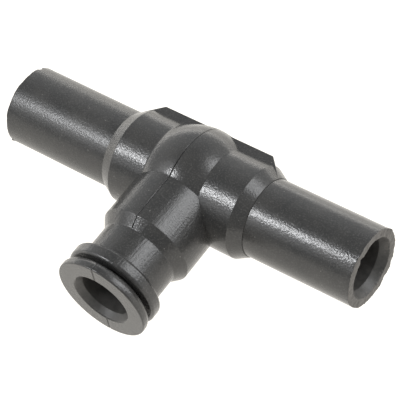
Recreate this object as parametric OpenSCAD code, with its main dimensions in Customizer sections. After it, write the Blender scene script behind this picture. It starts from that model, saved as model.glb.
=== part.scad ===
// Rubber hose tee with a flanged branch.
// Two extruded hose tails are pushed onto a rigid barbed tee, and a rubber body is moulded round the joint.
// X runs along the hose tails, the branch points along -Y and Z is up.
// The origin is on the surface that the tee lies on, under the middle of its outline.

/* [Hose tails] */
// Length of the run from one cut end to the other
run_length = 80.4; // [76:0.2:90]
// Outside diameter of a hose tail
tail_od = 16; // [15.8:0.1:16.4]
// Bore of a hose tail
tail_bore = 10.6; // [10.4:0.1:10.8]
// Diameter of a tail's mouth, where the bore opens out to the cut face
mouth_d = 12.5; // [12:0.1:13]
// Length of the mouth's cone
mouth_depth = 1.8; // [1.4:0.1:2.4]

/* [Moulded body] */
// Diameter of the body over the tails and of the branch
body_d = 19.2; // [18.6:0.1:20]
// Diameter of the round bulge at the crossing
bulge_d = 22.8; // [22:0.1:24]
// Distance from the branch's axis to where the shoulder starts to fall
shoulder_start = 13.9; // [13.2:0.1:14.4]
// Distance from the branch's axis to the shoulder's outer edge
shoulder_end = 16.5; // [16:0.1:18]
// Step left at the shoulder's outer edge, over the tail
shoulder_lip = 0.15; // [0.1:0.05:0.3]

/* [Back pad] */
// Height of the flat-backed pad behind the run
pad_height = 12.4; // [10:0.2:13]
// Distance from the run's axis to the pad's back face
pad_back = 9.3; // [9:0.1:10.5]
// Half of the back face's length, between its chamfers
pad_half_length = 12.6; // [12:0.1:13]

/* [Branch] */
// Distance from the run's axis to the branch's front face
branch_reach = 30.8; // [29:0.2:34]
// Distance from the run's axis to the end of the thick part of the branch
branch_ring_end = 16.5; // [16:0.1:17]
// Length of the cone between the thick part and the neck
branch_cone = 2.2; // [1.6:0.1:3]
// Diameter of the neck behind the flanges
neck_d = 16; // [15.4:0.1:16.4]
// Diameter of the branch's bore
port_bore = 10.4; // [10:0.1:10.8]
// Diameter of the lead-in at the front face
lead_in_d = 12.2; // [11.6:0.1:12.8]
// Depth of the lead-in cone
lead_in_depth = 1.4; // [0.8:0.1:2]

/* [Flanges] */
// Diameter of the rear flange
rear_flange_d = 19.4; // [18.8:0.1:20.4]
// Thickness of the rear flange
rear_flange_t = 2.7; // [2:0.1:3]
// Width of the groove between the flanges
groove_w = 0.9; // [0.8:0.1:1.4]
// Diameter of the groove's floor
groove_d = 14.6; // [14:0.1:15]
// Thickness of the front flange
front_flange_t = 2.1; // [1.8:0.1:2.5]
// Diameter of the front flange at its back edge
front_back_d = 18.7; // [17.8:0.1:19]
// Diameter of the front flange at its face
front_face_d = 19.7; // [19.2:0.1:20.4]

/* [Barbed insert] */
// Diameter of the waterway from tail to tail
waterway_d = 8.2; // [8:0.1:8.6]
// Diameter of the waterway through the branch arm
port_waterway_d = 7.8; // [7.2:0.1:7.8]
// Distance from the branch's axis to the end of a tail arm
arm_reach = 26; // [25:0.5:28]
// Distance from the run's axis to the end of the branch arm
port_arm_reach = 16.6; // [16:0.1:17]
// How far the arm between its barbs stretches the tail, on the radius
arm_stretch = 0.2; // [0.2:0.05:0.3]
// Diameter over a barb's crest
barb_d = 12.2; // [12:0.1:12.6]
// Distance from one barb to the next
barb_pitch = 4.2; // [3.8:0.1:4.2]
// Distance from the crossing to the outer face of a stop collar
collar_face = 9; // [8.8:0.1:9.2]
// Thickness of a stop collar
collar_t = 1.6; // [1.2:0.1:2]

/* [Hidden] */
$fn = 96;
tail_r = tail_od / 2;
bore_r = tail_bore / 2;
body_r = body_d / 2;
tail_end = run_length / 2;
root_r = bore_r + arm_stretch;
barb_r = barb_d / 2;
tail_barbs = 3;
port_barbs = 1;
// Width of the arm's root left in front of each barb's steep face
barb_gap = 0.4;
// The arm's nose is turned down so that it enters the tail
nose_drop = 0.9;
nose_length = 1.2;
// The widened part of a bore ends this far past the arm
nose_gap = 0.2;
hub_r = 7;
rear_flange_front = branch_reach - front_flange_t - groove_w;
rear_flange_back = rear_flange_front - rear_flange_t;
port_bore_end = branch_reach - lead_in_depth;
// A cutter stands this far proud of the face that it opens
over = 0.5;
crossing = [0, (branch_reach - bulge_d / 2) / 2, bulge_d / 2];

// Sawtooth outline of an arm's barbs, as [radius, distance] points from the collar outwards
function barb_points(barbs) = [
    for (i = [0:barbs - 1]) each [
        [root_r, collar_face + i * barb_pitch],
        [root_r, collar_face + i * barb_pitch + barb_gap],
        [barb_r, collar_face + i * barb_pitch + barb_gap],
        [root_r, collar_face + (i + 1) * barb_pitch - barb_gap]
    ]
];

// Turns a profile of [radius, distance] points into a solid along +X
module turned_x(points) {
    rotate([0, 90, 0]) rotate_extrude() polygon(points);
}

// The same along -Y, for the branch
module turned_y(points) {
    rotate([90, 0, 0]) rotate_extrude() polygon(points);
}

// One barbed arm as a solid of revolution, without its waterway
function arm_points(barbs, reach) = concat(
    [[0, 0], [hub_r, 0], [hub_r, collar_face - collar_t], [tail_r, collar_face - collar_t], [tail_r, collar_face]],
    barb_points(barbs),
    [[root_r, reach - nose_length], [root_r - nose_drop, reach], [0, reach]]
);

module insert_blank() {
    for (side = [0, 1]) mirror([side, 0, 0]) turned_x(arm_points(tail_barbs, arm_reach));
    turned_y(arm_points(port_barbs, port_arm_reach));
}

module barbed_insert() {
    color("#2b2c2e") translate(crossing) difference() {
        insert_blank();
        rotate([0, 90, 0]) cylinder(d = waterway_d, h = 2 * (arm_reach + over), center = true);
        rotate([90, 0, 0]) cylinder(d = port_waterway_d, h = port_arm_reach + over);
    }
}

// A tail follows the arm's barbs inside, then keeps its plain bore out to the mouth at its cut end
module hose_tail() {
    turned_x(concat(
        [[tail_r, collar_face]],
        barb_points(tail_barbs),
        [[root_r, arm_reach + nose_gap], [bore_r, arm_reach + nose_gap],
         [bore_r, tail_end - mouth_depth], [mouth_d / 2, tail_end], [tail_r, tail_end]]
    ));
}

module left_hose_tail() {
    color("#3a3a39") translate(crossing) mirror([1, 0, 0]) hose_tail();
}

module right_hose_tail() {
    color("#3a3a39") translate(crossing) hose_tail();
}

// Body ring and shoulder over one tail
module body_arm() {
    turned_x([[0, 0], [body_r, 0], [body_r, shoulder_start], [tail_r + shoulder_lip, shoulder_end], [0, shoulder_end]]);
}

// Thick branch, neck, and the two flanges with the groove between them
module branch() {
    turned_y([
        [0, 0], [body_r, 0], [body_r, branch_ring_end],
        [neck_d / 2, branch_ring_end + branch_cone], [neck_d / 2, rear_flange_back],
        [rear_flange_d / 2, rear_flange_back], [rear_flange_d / 2, rear_flange_front],
        [groove_d / 2, rear_flange_front], [groove_d / 2, rear_flange_front + groove_w],
        [front_back_d / 2, rear_flange_front + groove_w], [front_face_d / 2, branch_reach], [0, branch_reach]
    ]);
}

// Flat-backed pad behind the run, with its ends chamfered down to the tails
module back_pad() {
    pad_run = shoulder_end - pad_half_length;
    translate([0, 0, -pad_height / 2]) linear_extrude(pad_height) polygon([
        [-shoulder_end, 0], [shoulder_end, 0], [shoulder_end, pad_back - pad_run],
        [pad_half_length, pad_back], [-pad_half_length, pad_back], [-shoulder_end, pad_back - pad_run]
    ]);
}

module moulded_body() {
    color("#3d3d3c") translate(crossing) difference() {
        union() {
            sphere(d = bulge_d);
            for (side = [0, 1]) mirror([side, 0, 0]) body_arm();
            branch();
            back_pad();
        }
        insert_blank();
        for (side = [0, 1]) mirror([side, 0, 0])
            translate([collar_face, 0, 0]) rotate([0, 90, 0]) cylinder(r = tail_r, h = shoulder_end);
        rotate([90, 0, 0]) translate([0, 0, port_arm_reach - nose_length])
            cylinder(r = root_r, h = nose_length + nose_gap);
        rotate([90, 0, 0]) cylinder(d = port_bore, h = port_bore_end + over);
        rotate([90, 0, 0]) translate([0, 0, port_bore_end])
            cylinder(d1 = port_bore, d2 = lead_in_d, h = lead_in_depth);
        rotate([90, 0, 0]) translate([0, 0, branch_reach]) cylinder(d = lead_in_d, h = over);
    }
}

moulded_body();
left_hose_tail();
right_hose_tail();
barbed_insert();
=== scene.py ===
from math import atan2, cos, hypot, pi, radians, sin, sqrt, tan

import bmesh
import bpy
from mathutils import Matrix, Vector


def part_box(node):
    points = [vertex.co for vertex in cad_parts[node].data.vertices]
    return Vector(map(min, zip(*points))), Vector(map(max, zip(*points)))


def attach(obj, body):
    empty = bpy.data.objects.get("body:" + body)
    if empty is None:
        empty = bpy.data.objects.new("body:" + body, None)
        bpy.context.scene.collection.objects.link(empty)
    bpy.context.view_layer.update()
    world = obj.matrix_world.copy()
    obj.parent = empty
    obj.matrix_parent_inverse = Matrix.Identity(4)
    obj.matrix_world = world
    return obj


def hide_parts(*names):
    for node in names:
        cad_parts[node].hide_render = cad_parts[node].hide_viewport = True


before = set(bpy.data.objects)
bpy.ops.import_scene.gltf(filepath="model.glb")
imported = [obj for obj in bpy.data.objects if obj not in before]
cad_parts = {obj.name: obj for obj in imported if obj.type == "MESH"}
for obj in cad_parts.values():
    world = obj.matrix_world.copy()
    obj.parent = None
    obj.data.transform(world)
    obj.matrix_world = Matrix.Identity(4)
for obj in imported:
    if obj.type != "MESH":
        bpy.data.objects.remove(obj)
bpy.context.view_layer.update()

# Camera. It stands in front of the right-hand tail's side and looks down on the tee, leaning a little to
# the left, so that the open end, the branch's mouth and the top of the moulding are all seen.
mm = 0.001
tail_low, tail_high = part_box("right_hose_tail")
crossing = Vector((0, (tail_low.y + tail_high.y) / 2, (tail_low.z + tail_high.z) / 2))
azimuth, elevation, lean = radians(45.88), radians(52.28), radians(-13.34)
backwards = Vector((sin(azimuth) * cos(elevation), -cos(azimuth) * cos(elevation), sin(elevation)))
level = Vector((cos(azimuth), sin(azimuth), 0))
upright = backwards.cross(level)
across = level * cos(lean) + upright * sin(lean)
upwards = upright * cos(lean) - level * sin(lean)
camera_data = bpy.data.cameras.new("camera")
camera_data.sensor_width = 36
camera_data.lens = 186.02
camera_data.clip_start = 0.01
camera = bpy.data.objects.new("camera", camera_data)
camera.matrix_world = Matrix((across, upwards, backwards)).transposed().to_4x4()
camera.location = crossing + Vector((2.94, -2.74, 0)) * mm + backwards * 394.0 * mm
bpy.context.scene.collection.objects.link(camera)
bpy.context.scene.camera = camera

# Barbed insert. A rigid tee injection-moulded from black glass-filled nylon. Each arm has saw-tooth barbs
# that the tails are pushed over, up to a round stop collar. It is hidden, but for its noses deep inside.
tail_radius = (tail_high.z - tail_low.z) / 2 / mm
tail_start = tail_low.x / mm
tail_end = tail_high.x / mm
bore_radius, mouth_radius, mouth_depth = 5.3, 6.25, 1.8
insert_low, insert_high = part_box("barbed_insert")
arm_reach = insert_high.x / mm
port_reach = (crossing.y - insert_low.y) / mm
root_radius, barb_radius, barb_pitch, barb_gap = 5.5, 6.1, 4.2, 0.4
waterway_radius, branch_waterway_radius = 4.1, 3.9
hub_radius = 7.0
collar_thickness = 1.6
nose_length, nose_drop = 1.2, 0.9


def fillet(before, corner, after, radius, steps=5):
    """Rounds one corner of an outline: points on the arc that touches both of its sides."""
    before, corner, after = (Vector((*point, 0)) for point in (before, corner, after))
    to_before, to_after = (before - corner).normalized(), (after - corner).normalized()
    half = to_before.angle(to_after) / 2
    centre = corner + (to_before + to_after).normalized() * radius / sin(half)
    start = (corner + to_before * radius / tan(half) - centre).normalized()
    end = (corner + to_after * radius / tan(half) - centre).normalized()
    return [(centre + start.slerp(end, step / steps) * radius).to_2d() for step in range(steps + 1)]


def outline(*corners, closed=False):
    """An outline of (radius, distance) points in millimetres. A third number rounds that corner."""
    points = []
    for place, corner in enumerate(corners):
        ends = not closed and place in (0, len(corners) - 1)
        if len(corner) == 2 or ends:
            points.append(Vector(corner[:2]))
        else:
            before, after = corners[place - 1][:2], corners[(place + 1) % len(corners)][:2]
            points += fillet(before, corner[:2], after, corner[2])
    return points


ALONG_RUN = Matrix.Rotation(pi / 2, 4, "Y")
ALONG_BRANCH = Matrix.Rotation(pi / 2, 4, "X")
POLE = 0.002


def turned(name, points, turn, sides=144, closed=False):
    """Turns an outline into a solid ring by ring, and lays it along the run or the branch."""
    points = [(max(radius, POLE) * mm, distance * mm) for radius, distance in points]
    bpy.ops.object.select_all(action="DESELECT")
    radius, distance = points[0]
    bpy.ops.mesh.primitive_circle_add(vertices=sides, radius=radius, location=(0, 0, distance))
    piece = bpy.context.object
    piece.name = piece.data.name = name
    bpy.ops.object.transform_apply()
    bpy.ops.object.mode_set(mode="EDIT")
    bpy.ops.mesh.select_all(action="SELECT")
    for next_radius, next_distance in points[1:] + points[:1] * closed:
        bpy.ops.mesh.extrude_region_move(TRANSFORM_OT_translate={"value": (0, 0, next_distance - distance)})
        wider = next_radius / radius
        bpy.ops.transform.resize(value=(wider, wider, 1), center_override=(0, 0, next_distance))
        radius, distance = next_radius, next_distance
    bpy.ops.mesh.select_all(action="SELECT")
    bpy.ops.mesh.remove_doubles(threshold=POLE * mm * 1.5)
    bpy.ops.mesh.normals_make_consistent(inside=False)
    bpy.ops.object.mode_set(mode="OBJECT")
    piece.matrix_world = Matrix.Translation(crossing) @ turn
    bpy.ops.object.transform_apply()
    return piece


def joined(piece, tool, operation="UNION"):
    """Adds a second solid to a piece, or cuts it away."""
    step = piece.modifiers.new("joint", "BOOLEAN")
    step.operation, step.object, step.solver = operation, tool, "EXACT"
    bpy.ops.object.select_all(action="DESELECT")
    bpy.context.view_layer.objects.active = piece
    piece.select_set(True)
    bpy.ops.object.modifier_apply(modifier=step.name)
    bpy.data.objects.remove(tool)


def smoothed(piece, angle=32):
    """Shades the curved faces smooth by the size of each face, and keeps the true edges."""
    bpy.ops.object.select_all(action="DESELECT")
    bpy.context.view_layer.objects.active = piece
    piece.select_set(True)
    bpy.ops.object.shade_smooth_by_angle(angle=radians(angle))
    step = piece.modifiers.new("even_shading", "WEIGHTED_NORMAL")
    step.keep_sharp = True
    bpy.ops.object.modifier_apply(modifier=step.name)


def barbs(count):
    """Corners of an arm's barbs: steep towards the collar, sloping towards the arm's nose."""
    corners = []
    for place in range(count):
        foot = tail_start + place * barb_pitch
        corners += [(root_radius, foot), (root_radius, foot + barb_gap),
                    (barb_radius, foot + barb_gap, 0.06), (root_radius, foot + barb_pitch - barb_gap)]
    return corners


def arm(name, count, reach, turn):
    collar_back = tail_start - collar_thickness
    return turned(name, outline(
        (0, -1), (hub_radius, -1), (hub_radius, collar_back, 0.3), (tail_radius, collar_back, 0.2),
        (tail_radius, tail_start, 0.1), *barbs(count),
        (root_radius, reach - nose_length, 0.4), (root_radius - nose_drop, reach, 0.25), (0, reach)), turn)


insert = arm("barbed_tee_core", 3, arm_reach, ALONG_RUN)
joined(insert, arm("left_arm", 3, arm_reach, Matrix.Rotation(pi, 4, "Z") @ ALONG_RUN))
joined(insert, arm("branch_arm", 1, port_reach, ALONG_BRANCH))
long_way, short_way = arm_reach + 1, port_reach + 1
joined(insert, turned("run_waterway", outline(
    (0, -long_way), (waterway_radius + 1, -long_way), (waterway_radius, -arm_reach + 0.4, 0.3),
    (waterway_radius, arm_reach - 0.4, 0.3), (waterway_radius + 1, long_way), (0, long_way)),
    ALONG_RUN), "DIFFERENCE")
joined(insert, turned("branch_waterway", outline(
    (0, 0), (branch_waterway_radius, 0), (branch_waterway_radius, short_way), (0, short_way)),
    ALONG_BRANCH), "DIFFERENCE")
smoothed(insert)


class Flow:
    """One output of a shader node, so that shader maths reads as plain expressions."""

    def __init__(self, finish, socket):
        self.finish, self.socket = finish, socket

    def maths(self, operation, *values):
        return self.finish.node("ShaderNodeMath", {"operation": operation},
                                {place: value for place, value in enumerate(values)})

    def __add__(self, other):
        return self.maths("ADD", self, other)

    __radd__ = __add__

    def __mul__(self, other):
        return self.maths("MULTIPLY", self, other)

    def __rsub__(self, other):
        return self.maths("SUBTRACT", other, self)

    def ramp(self, low, high):
        """0 below low, 1 above high, and a straight rise between them."""
        return self.finish.node("ShaderNodeMapRange", {},
                                {"Value": self, "From Min": low, "From Max": high})


class Finish:
    """A material and its Principled shader, read on the piece's own coordinates in millimetres."""

    def __init__(self, name):
        self.block = bpy.data.materials.new(name)
        self.block.use_nodes = True
        self.tree = self.block.node_tree
        self.shader = self.tree.nodes["Principled BSDF"]
        place = self.node("ShaderNodeTexCoord", {}, {}, "Object")
        self.place = self.node("ShaderNodeVectorMath", {"operation": "SCALE"},
                               {"Vector": place, "Scale": 1 / mm})

    def node(self, kind, settings, inputs, output=0):
        """Adds a node: its settings first, then the values or links of its sockets."""
        node = self.tree.nodes.new(kind)
        for setting, value in settings.items():
            setattr(node, setting, value)
        for key, value in inputs.items():
            socket = node.inputs[key] if isinstance(key, int) else next(
                s for s in node.inputs if key in (s.identifier, s.name))
            if isinstance(value, Flow):
                self.tree.links.new(value.socket, socket)
            else:
                socket.default_value = value
        return Flow(self, node.outputs[output])

    def noise(self, size, detail=2, roughness=0.5, stretch=(1, 1, 1), turn=(0, 0, 0)):
        """Noise whose lumps are about size millimetres across, stretched along an axis where asked."""
        place = self.node("ShaderNodeMapping", {}, {"Vector": self.place, "Rotation": turn,
                                                    "Scale": [1 / (size * share) for share in stretch]})
        return self.node("ShaderNodeTexNoise", {}, {"Vector": place, "Scale": 1.0, "Detail": detail,
                                                    "Roughness": roughness})

    def specks(self, spacing, size):
        """1 inside scattered specks and 0 elsewhere: one speck in some of the cells of a grid."""
        place = self.node("ShaderNodeMapping", {}, {"Vector": self.place, "Scale": [1 / spacing] * 3})
        reach = self.node("ShaderNodeTexVoronoi", {},
                          {"Vector": place, "Scale": 1.0, "Randomness": 1.0}, "Distance")
        return 1 - reach.ramp(size / spacing * 0.6, size / spacing)

    def mixed(self, share, first, second):
        return self.node("ShaderNodeMix", {"data_type": "RGBA"},
                         {"Factor_Float": share, "A_Color": first, "B_Color": second}, 2)

    def bump(self, height, distance, strength=1.0, below=None):
        """Raises the surface by distance millimetres where height is 1."""
        inputs = {"Height": height, "Distance": distance * mm, "Strength": strength}
        if below is not None:
            inputs["Normal"] = below
        return self.node("ShaderNodeBump", {}, inputs)

    def shade(self, **sockets):
        """Sets or links the shader's sockets, and gives back the material."""
        for name, value in sockets.items():
            socket = self.shader.inputs[name.replace("_", " ").title().replace("Ior", "IOR")]
            if isinstance(value, Flow):
                self.tree.links.new(value.socket, socket)
            else:
                socket.default_value = value
        return self.block


def nylon():
    finish = Finish("black_glass_filled_nylon")
    fibres = finish.noise(0.5, 3, 0.6, (4, 1, 1), (0, 0, 0.5))
    cloud = finish.noise(5, 2)
    colour = finish.mixed(cloud.ramp(0.3, 0.7), (0.020, 0.020, 0.022, 1), (0.034, 0.033, 0.034, 1))
    return finish.shade(base_color=colour, roughness=fibres * 0.25 + 0.32,
                        normal=finish.bump(fibres, 0.02, 0.5), specular_ior_level=0.5)


insert.data.materials.clear()
insert.data.materials.append(nylon())
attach(insert, "root")
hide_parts("barbed_insert")

# Hose tails. Two lengths of extruded rubber tube, pushed onto the insert's arms up to the collars. Their
# outer ends are cut off by hand with a knife, so the cut wanders a little and its face is matt.


def hose(name, turn, end):
    """A tube whose bore follows the barbs, runs plain, and opens out into a mouth at the cut end."""
    face = [(radius, end) for radius in (7.75, 7.5, 7.25, 7.0, 6.75, 6.5)]
    flare = (mouth_radius - bore_radius) / mouth_depth
    mouth = [(mouth_radius - flare * depth, end - depth) for depth in (0.3, 0.6, 0.9, 1.2)]
    skin = [(tail_radius, stop) for stop in (20, 24, 28, 32, 35, 37.5, end - 1, end - 0.5, end - 0.25)]
    bore = [(bore_radius, stop) for stop in (37, 35, 32, 29, arm_reach + 0.2)]
    return turned(name, outline(
        (tail_radius, tail_start), *skin, (tail_radius, end, 0.06), *face,
        (mouth_radius, end, 0.12), *mouth, (bore_radius, end - mouth_depth, 0.3), *bore,
        (root_radius, arm_reach + 0.2), *reversed(barbs(3)), closed=True), turn, sides=240, closed=True)


def pick(test):
    """Selects the points in edit mode that pass a test on their place from the crossing, in millimetres."""
    mesh = bmesh.from_edit_mesh(bpy.context.object.data)
    for vertex in mesh.verts:
        vertex.select_set(test((vertex.co - crossing) / mm))
    mesh.select_flush_mode()
    bmesh.update_edit_mesh(bpy.context.object.data)


def pushed(piece, test, shift, reach):
    """Moves the points that pass the test, and those within reach of them by less and less."""
    bpy.ops.object.select_all(action="DESELECT")
    bpy.context.view_layer.objects.active = piece
    piece.select_set(True)
    bpy.ops.object.mode_set(mode="EDIT")
    pick(test)
    bpy.ops.transform.translate(value=Vector(shift) * mm, use_proportional_edit=True,
                                proportional_edit_falloff="SMOOTH", proportional_size=reach * mm)
    bpy.ops.object.mode_set(mode="OBJECT")


def roughened(piece, side, end):
    """Lets the knife's cut wander along the tube and leaves its edges ragged."""
    group = piece.vertex_groups.new(name="cut")
    fade = 1.5
    for vertex in piece.data.vertices:
        inside = end - abs(vertex.co.x - crossing.x) / mm
        if inside < fade:
            group.add([vertex.index], (1 - max(inside, 0) / fade) ** 2, "REPLACE")
    waves = (6, 0.5, "X"), (1.2, 0.22, "X"), (0.45, 0.12, "X"), (0.9, 0.16, "NORMAL")
    for size, height, direction in waves:
        cloud = bpy.data.textures.new(side + "_cut", "CLOUDS")
        cloud.noise_scale = size * mm
        step = piece.modifiers.new("cut", "DISPLACE")
        step.texture, step.strength, step.direction = cloud, height * mm, direction
        step.vertex_group, step.mid_level = "cut", 0.5
        bpy.context.view_layer.objects.active = piece
        bpy.ops.object.modifier_apply(modifier=step.name)
    return piece


def near(distance, radius, angle, reach):
    """A test for the points close to a place on a tail, given by its angle round the run from the back."""
    place = Vector((distance, radius * cos(radians(angle)), radius * sin(radians(angle))))
    return lambda point: (point - place).length < reach


def black_rubber(finish, specks, pits, dull):
    """Colour, roughness and grain that the tails and the moulding share: clouded black with pale dust, and
    pits painted near-black as painted shade.
    """
    grain = finish.noise(0.36, 2.5, 0.6)
    fine = finish.noise(0.28, 1, 0.5)
    cloud = finish.noise(5, 3, 0.6)
    dust = specks * finish.noise(2.5).ramp(0.45, 0.6)
    colour = finish.mixed(cloud.ramp(0.35, 0.7), (0.025, 0.025, 0.0245, 1), (0.036, 0.035, 0.033, 1))
    colour = finish.mixed(fine.ramp(0.5, 0.72) * 0.4, colour, (0.085, 0.083, 0.078, 1))
    colour = finish.mixed(dust * 0.6, colour, (0.26, 0.25, 0.23, 1))
    # Pits painted near-black: painted shade in the pits, laid over their bump.
    colour = finish.mixed(pits * 0.8, colour, (0.006, 0.006, 0.006, 1))
    return colour, grain * 0.16 + cloud * 0.1 + dull, grain


def hose_rubber(name, dull):
    """Extruded rubber: fine drawn lines along the tube, a dusty satin skin, and pits."""
    finish = Finish(name)
    drawn = finish.noise(0.3, 3, 0.6, (16, 1, 1))
    pits = finish.specks(4.1, 0.15) * finish.noise(4).ramp(0.5, 0.6)
    colour, roughness, grain = black_rubber(finish, finish.specks(1.6, 0.14), pits, dull)
    height = finish.bump(drawn, 0.012, 0.8)
    height = finish.bump(grain, 0.042, 1.0, height)
    height = finish.bump(pits, -0.08, 0.8, height)
    return finish.shade(base_color=colour, roughness=roughness, normal=height)


def cut_rubber():
    """The bare cut face: matt, drawn across by the knife, and a little paler, partly its own tone and partly
    painted light for the light falling on the end faces.
    """
    finish = Finish("knife_cut_rubber")
    drag = finish.noise(0.3, 3, 0.6, (1, 5, 1), (0.6, 0, 0))
    grain = finish.noise(0.35, 3, 0.7)
    # The paler colours are partly the cut's own tone and partly painted light on the end faces.
    colour = finish.mixed(drag.ramp(0.3, 0.7), (0.050, 0.047, 0.043, 1), (0.100, 0.094, 0.087, 1))
    height = finish.bump(drag, 0.05, 0.6)
    return finish.shade(base_color=colour, roughness=0.6, normal=finish.bump(grain, 0.08, 0.7, height))


def bore_rubber():
    """The wall of a bore: the same rubber, mottled and painted paler as painted light for the light that
    reaches inside the bore.
    """
    finish = Finish("bore_rubber_painted_light")
    bore_mottle = finish.noise(1.2, 3, 0.65)
    # Both colours are paler than the skin: painted light inside the bore.
    colour = finish.mixed(bore_mottle.ramp(0.3, 0.7), (0.032, 0.031, 0.029, 1), (0.060, 0.058, 0.054, 1))
    return finish.shade(base_color=colour, roughness=bore_mottle * 0.2 + 0.35, normal=finish.bump(bore_mottle, 0.04, 0.6))


bore_skin = bore_rubber()
tail_skins = {"left": hose_rubber("dull_hose_rubber", 0.15), "right": hose_rubber("hose_rubber", 0.06)}
cut_skin = cut_rubber()
for side, turn, end in (("left", Matrix.Rotation(pi, 4, "Z") @ ALONG_RUN, tail_end + 0.3),
                        ("right", ALONG_RUN, tail_end - 0.25)):
    tail = roughened(hose(side + "_tail", turn, end), side, end)
    if side == "right":
        pushed(tail, near(end, 7.6, 294, 0.5), (-0.15, 0.05, -0.05), 0.7)
        pushed(tail, near(end, 6.3, 114, 0.3), (-0.3, 0.1, 0), 0.6)
        pushed(tail, near(end, 6.3, 351, 0.4), (-0.15, 0.05, 0), 0.7)
        pushed(tail, near(end, 8, 24, 0.4), (0.15, 0.1, 0.05), 0.8)
    else:
        pushed(tail, near(-end, 8, 55, 0.3), (0.25, 0, -0.1), 0.6)
        pushed(tail, near(-end, 8, 202, 0.3), (-0.15, -0.15, -0.1), 0.5)
    pushed(tail, lambda point: abs(point.x) > end - 2, (0, 0, 0.2 if side == "left" else 0.1), 22)
    smoothed(tail, 40)
    tail.data.materials.clear()
    tail.data.materials.append(tail_skins[side])
    tail.data.materials.append(cut_skin)
    tail.data.materials.append(bore_skin)
    # The cut ends get the cut finish, whose paler colour is partly painted light, and the bore's wall gets
    # the bore finish, painted paler as painted light.
    for face in tail.data.polygons:
        place = (face.center - crossing) / mm
        at_end = abs(place.x) > end - 0.9 and abs(face.normal.x) > 0.5
        face.material_index = 1 if at_end else 2 if hypot(place.y, place.z) < mouth_radius else 0
    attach(tail, "root")
    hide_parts(side + "_hose_tail")

# Moulded body. Black rubber moulded round the tails' ends and the insert, in a tool that parts across the
# run. It has a round bulge at the crossing, a shoulder over each tail, a flat pad and the flanged branch.
body_low, body_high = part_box("moulded_body")
bulge = (body_high.z - body_low.z) / 2 / mm
shoulder_end = body_high.x / mm
branch_reach = (crossing.y - body_low.y) / mm
body_radius, neck_radius = 9.6, 8.0
shoulder_start, shoulder_lip = 13.9, 0.15
blend = 0.6
port_radius, lead_in_radius, lead_in_depth = 5.2, 6.05, 1.4


def blend_arc(size, steps=8):
    """The hollow blend from the bulge to a cylinder of the body's radius, and the angle it ends at."""
    centre_distance = sqrt((size + blend) ** 2 - (body_radius + blend) ** 2)
    end = atan2(centre_distance, body_radius + blend)
    angles = [end * step / steps for step in range(steps + 1)]
    arc = [(body_radius + blend - blend * cos(angle), centre_distance - blend * sin(angle))
           for angle in angles]
    return arc, end


run_blend, run_angle = blend_arc(bulge)
half_run = [(tail_radius + shoulder_lip, shoulder_end, 0.06), (body_radius, shoulder_start, 0.45)]
dome = [(bulge * cos(run_angle * step / 16), bulge * sin(run_angle * step / 16)) for step in range(-15, 16)]
left_stretch = 1.08
run_points = (outline((0, -shoulder_end), *[(r, -d, f) for r, d, f in half_run], (body_radius, -7))[:-1]
              + [(r, -d * left_stretch) for r, d in run_blend]
              + [(r, d * left_stretch if d < 0 else d) for r, d in dome] + list(reversed(run_blend))
              + outline((body_radius, 7), *reversed(half_run), (0, shoulder_end))[1:])
body = turned("moulded_tee_body", run_points, ALONG_RUN, 160)

branch_blend, branch_angle = blend_arc(bulge - 0.015)
ring_end, cone_end = 16.5, 18.7
rear_back, groove_back, groove_front = 25.1, branch_reach - 3.0, branch_reach - 2.1
rear_radius, front_radius, groove_floor = 9.7, 9.8, 7.3
branch_points = ([(0, 3), (8.5, 3)] + list(reversed(branch_blend)) + outline(
    (body_radius, 7), (body_radius, ring_end, 0.35), (neck_radius, cone_end, 0.6),
    (neck_radius, rear_back, 0.8), (rear_radius, rear_back, 0.6), (rear_radius, groove_back, 0.7),
    (groove_floor, groove_back, 0.1), (groove_floor, groove_front, 0.1),
    (front_radius - 0.5, groove_front, 0.25), (front_radius, groove_front + 0.8, 0.9),
    (front_radius, branch_reach, 0.3), (0, branch_reach))[1:])
joined(body, turned("branch", branch_points, ALONG_BRANCH, 160))

pad_half_height, pad_back, pad_half_length = 6.2, 9.3, 12.6


def back_pad():
    """A flat slab behind the run, its ends cut off at a slant and its edges just broken."""
    bpy.ops.object.select_all(action="DESELECT")
    middle = crossing + Vector((0, (pad_back + 1) / 2, 0)) * mm
    sides = Vector((2 * shoulder_end, pad_back - 1, 2 * pad_half_height)) * mm
    bpy.ops.mesh.primitive_cube_add(size=1, location=middle, scale=sides)
    pad = bpy.context.object
    bpy.ops.object.transform_apply()
    bpy.ops.object.mode_set(mode="EDIT")
    for side in (-1, 1):
        bpy.ops.mesh.select_all(action="SELECT")
        bpy.ops.mesh.bisect(plane_co=crossing + Vector((side * pad_half_length, pad_back, 0)) * mm,
                            plane_no=(side, 1, 0), use_fill=True, clear_outer=True)
    bpy.ops.mesh.select_all(action="SELECT")
    bpy.ops.mesh.bevel(offset=0.22 * mm, segments=3, affect="EDGES")
    bpy.ops.object.mode_set(mode="OBJECT")
    return pad


joined(body, back_pad())

for name, turn in (("left_cavity", Matrix.Rotation(pi, 4, "Z") @ ALONG_RUN), ("right_cavity", ALONG_RUN)):
    joined(body, turned(name, outline(
        (0, 0), (hub_radius, 0), (hub_radius, tail_start - collar_thickness),
        (tail_radius, tail_start - collar_thickness), (tail_radius, shoulder_end + 1),
        (0, shoulder_end + 1)), turn), "DIFFERENCE")
joined(body, turned("port", outline(
    (0, 0), (port_radius, 0), (port_radius, branch_reach - lead_in_depth, 0.3),
    (lead_in_radius, branch_reach - 0.15, 0.3), (6.9, branch_reach + 0.5), (0, branch_reach + 0.5)),
    ALONG_BRANCH), "DIFFERENCE")

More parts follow.
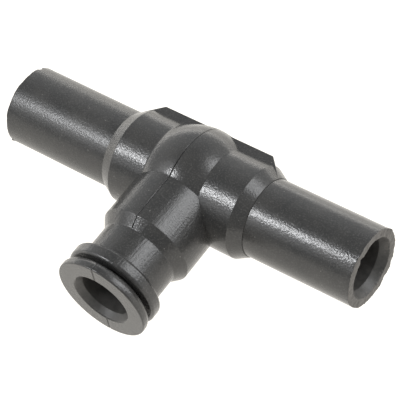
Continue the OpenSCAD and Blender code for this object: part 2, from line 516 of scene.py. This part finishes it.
# The parting line is a fine groove over the middle of the bulge, the branch, its cone and the front flange
groove_half, groove_depth, groove_land = 0.048, 0.19, 0.15
bpy.ops.object.mode_set(mode="EDIT")
bpy.ops.mesh.select_all(action="SELECT")
bpy.ops.mesh.remove_doubles(threshold=0.01 * mm)
bpy.ops.mesh.dissolve_degenerate(threshold=0.01 * mm)
for offset in (-groove_land, -groove_half, 0, groove_half, groove_land):
    bpy.ops.mesh.select_all(action="SELECT")
    bpy.ops.mesh.bisect(plane_co=crossing + Vector((offset * mm, 0, 0)), plane_no=(1, 0, 0))


def on_parting(place):
    """True for an outside point of the moulding that lies in the tool's parting plane."""
    in_plane = abs(place.x) < 1e-3
    on_run = place.y > -9 and hypot(place.y, place.z) > 9.2
    on_branch = 0.1 - cone_end < place.y <= -9 and abs(place.z) > neck_radius
    on_front_flange = place.y < -groove_front - 0.05 and abs(place.z) > 6.1
    return in_plane and (on_run or on_branch or on_front_flange)


pick(on_parting)
bpy.ops.transform.shrink_fatten(value=-groove_depth * mm)
bpy.ops.object.mode_set(mode="OBJECT")
smoothed(body)


def moulded_rubber():
    """Moulded rubber: fine tool grain, drag lines along the branch, dust, pits and a few scratches."""
    finish = Finish("moulded_tee_rubber")
    peel = finish.noise(1.3, 2)
    pits = finish.specks(3.3, 0.15)
    scratch = finish.noise(0.25, 2, 0.5, (1, 12, 1), (0.3, 0, 0.4))
    drag = finish.noise(0.35, 2, 0.6, (1, 16, 1))
    on_branch = finish.node("ShaderNodeVectorMath", {"operation": "DOT_PRODUCT"},
                            {0: finish.place, 1: (0, 1, 0)}, 1).ramp(2, -1)
    colour, roughness, grain = black_rubber(finish, finish.specks(1.5, 0.13), pits, 0.06)
    height = finish.bump(peel, 0.02, 0.4)
    height = finish.bump(grain, 0.042, 1.0, height)
    height = finish.bump(drag * on_branch, 0.05, 1.0, height)
    height = finish.bump(scratch.ramp(0.66, 0.72), -0.012, 0.5, height)
    height = finish.bump(pits, -0.08, 0.8, height)
    return finish.shade(base_color=colour, roughness=roughness, normal=height)


body.data.materials.clear()
body.data.materials.append(moulded_rubber())
body.data.materials.append(bore_skin)
# The port's wall gets the bore finish, painted paler as painted light inside the bore.
for face in body.data.polygons:
    place = (face.center - crossing) / mm
    face.material_index = int(place.y < 0 and hypot(place.x, place.z) < port_radius + 0.6)
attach(body, "root")
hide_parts("moulded_body")

# Floor and light. A plain white table in a pale room whose walls are brightest low down at the back. The
# light is a small soft box with a wide dim screen at the front left, and the same, taller, at the back right.
bpy.ops.mesh.primitive_plane_add(size=3)
floor = bpy.context.object
floor.name = "floor"
floor.data.materials.append(Finish("white_table").shade(
    base_color=(0.15, 0.147, 0.14, 1), roughness=0.95, specular_ior_level=0.1,
    emission_color=(1, 0.965, 0.905, 1), emission_strength=1.2))


lamp_distance = 0.6


def soft_box(name, azimuth, elevation, width, height, brightness):
    """A panel that faces the tee. Its width and height are the degrees that it spans, seen from the tee."""
    light = bpy.data.lights.new(name, "AREA")
    light.shape = "RECTANGLE"
    light.size, light.size_y = (2 * lamp_distance * tan(radians(span) / 2) for span in (width, height))
    light.energy = brightness * pi * light.size * light.size_y
    light.color = (0.97, 0.98, 1.0)
    lamp = bpy.data.objects.new(name, light)
    azimuth, elevation = radians(azimuth), radians(elevation)
    towards = Vector((sin(azimuth) * cos(elevation), -cos(azimuth) * cos(elevation), sin(elevation)))
    lamp.location = crossing + towards * lamp_distance
    lamp.rotation_euler = towards.to_track_quat("Z", "Y").to_euler()
    bpy.context.scene.collection.objects.link(lamp)


soft_box("front_left_box", -41, 50, 10, 10, 34)
soft_box("front_left_screen", -45, 44, 42, 38, 1.6)
soft_box("back_right_box", 129, 39, 25, 42, 5.0)
soft_box("back_right_screen", 129, 44, 60, 56, 0.3)


class Room(Finish):
    """The walls and ceiling: light from far away, read on the direction that it comes from."""

    def __init__(self, name):
        self.block = bpy.data.worlds.new(name)
        self.block.use_nodes = True
        self.tree = self.block.node_tree
        self.shader = self.tree.nodes["Background"]
        self.towards = self.node("ShaderNodeTexCoord", {}, {}, "Generated")

    def along(self, direction):
        """How far the light's direction leans towards a given one: 1 along it, -1 straight away."""
        return self.node("ShaderNodeVectorMath", {"operation": "DOT_PRODUCT"},
                         {0: self.towards, 1: direction}, 1)


room = Room("pale_room")
height = room.along((0, 0, 1))
behind = room.along((-0.5, 0.87, 0)).ramp(-0.9, 0.3)
low = 1 - height.ramp(0, 0.2)
below_ceiling = 1 - height.ramp(0.6, 0.9)
bpy.context.scene.world = room.shade(
    color=room.mixed(low, (0.97, 0.985, 1, 1), (1, 0.965, 0.91, 1)),
    strength=0.4 + behind * (low * low * 4.5 + below_ceiling * 0.55))
bpy.context.scene.view_settings.view_transform = "Standard"
